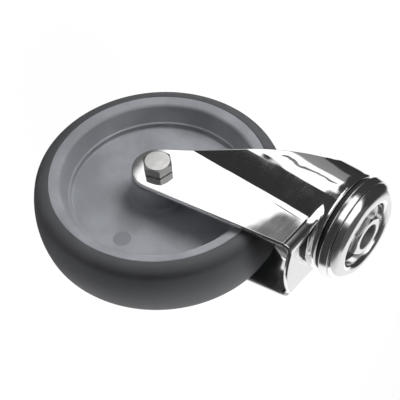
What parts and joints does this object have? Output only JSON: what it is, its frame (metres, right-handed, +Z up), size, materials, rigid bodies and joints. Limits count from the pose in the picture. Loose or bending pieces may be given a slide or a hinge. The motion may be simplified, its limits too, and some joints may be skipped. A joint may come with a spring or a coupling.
{
  "type": "swivel caster",
  "caption": "Swivel caster with a bolt hole: polished pressed fork under a ball race head, and a grey wheel with a soft grey tread on ball bearings.",
  "frame": {"origin": "on the swivel axis, in the mounting plane at the mouth of the bolt hole", "axes": "+Z up along the swivel axis, out of the bolt hole; the wheel trails towards +X; the axle lies along Y, its bolt head at -Y"},
  "size_m": [0.1307, 0.0567, 0.158],
  "materials": {
    "polished_steel": "mirror polished",
    "bolt_steel": "plain",
    "race_steel": "ground",
    "cage_plastic": "moulded",
    "seal_plastic": "moulded",
    "insert_plastic": "moulded",
    "wheel_plastic": "satin moulded",
    "tread_rubber": "matt"
  },
  "bodies": {
    "swivel_head": {"top_cap": "polished_steel", "race_ring": "polished_steel", "dust_seal": "seal_plastic", "bolt_sleeve": "polished_steel", "lower_race": "race_steel"},
    "upper_ball_row": {"upper_balls": "race_steel"},
    "lower_ball_row": {"lower_balls": "race_steel"},
    "fork": {"fork": "polished_steel", "axle_bolt": "bolt_steel", "axle_nut": "bolt_steel", "nut_insert": "insert_plastic", "axle_spacer": "bolt_steel", "side_spacer_near": "bolt_steel", "side_spacer_far": "bolt_steel", "bearing_inner_ring_near": "race_steel", "bearing_inner_ring_far": "race_steel"},
    "wheel_ball_rows": {"bearing_balls_near": "race_steel", "bearing_cage_near": "cage_plastic", "bearing_balls_far": "race_steel", "bearing_cage_far": "cage_plastic"},
    "wheel": {"tread": "tread_rubber", "wheel_centre": "wheel_plastic", "bearing_outer_ring_near": "race_steel", "bearing_shield_near": "race_steel", "bearing_outer_ring_far": "race_steel", "bearing_shield_far": "race_steel"}
  },
  "joints": [
    {"name": "swivel", "type": "hinge", "parent": "swivel_head", "child": "fork", "pos_m": [0, 0, -0.014], "axis": [0, 0, 1], "continuous": true},
    {"name": "wheel_spin", "type": "hinge", "parent": "fork", "child": "wheel", "pos_m": [0.041, 0, -0.0955], "axis": [0, 1, 0], "continuous": true},
    {"name": "upper_ball_roll", "type": "hinge", "parent": "swivel_head", "child": "upper_ball_row", "pos_m": [0, 0, -0.01115], "axis": [0, 0, 1], "continuous": true},
    {"name": "lower_ball_roll", "type": "hinge", "parent": "swivel_head", "child": "lower_ball_row", "pos_m": [0, 0, -0.0171], "axis": [0, 0, 1], "continuous": true},
    {"name": "wheel_ball_roll", "type": "hinge", "parent": "fork", "child": "wheel_ball_rows", "pos_m": [0.041, 0, -0.0955], "axis": [0, 1, 0], "continuous": true}
  ],
  "couplings": [
    {"joint": "upper_ball_roll", "follows": "swivel", "ratio": 0.5},
    {"joint": "lower_ball_roll", "follows": "swivel", "ratio": 0.5},
    {"joint": "wheel_ball_roll", "follows": "wheel_spin", "ratio": 0.6323}
  ]
}
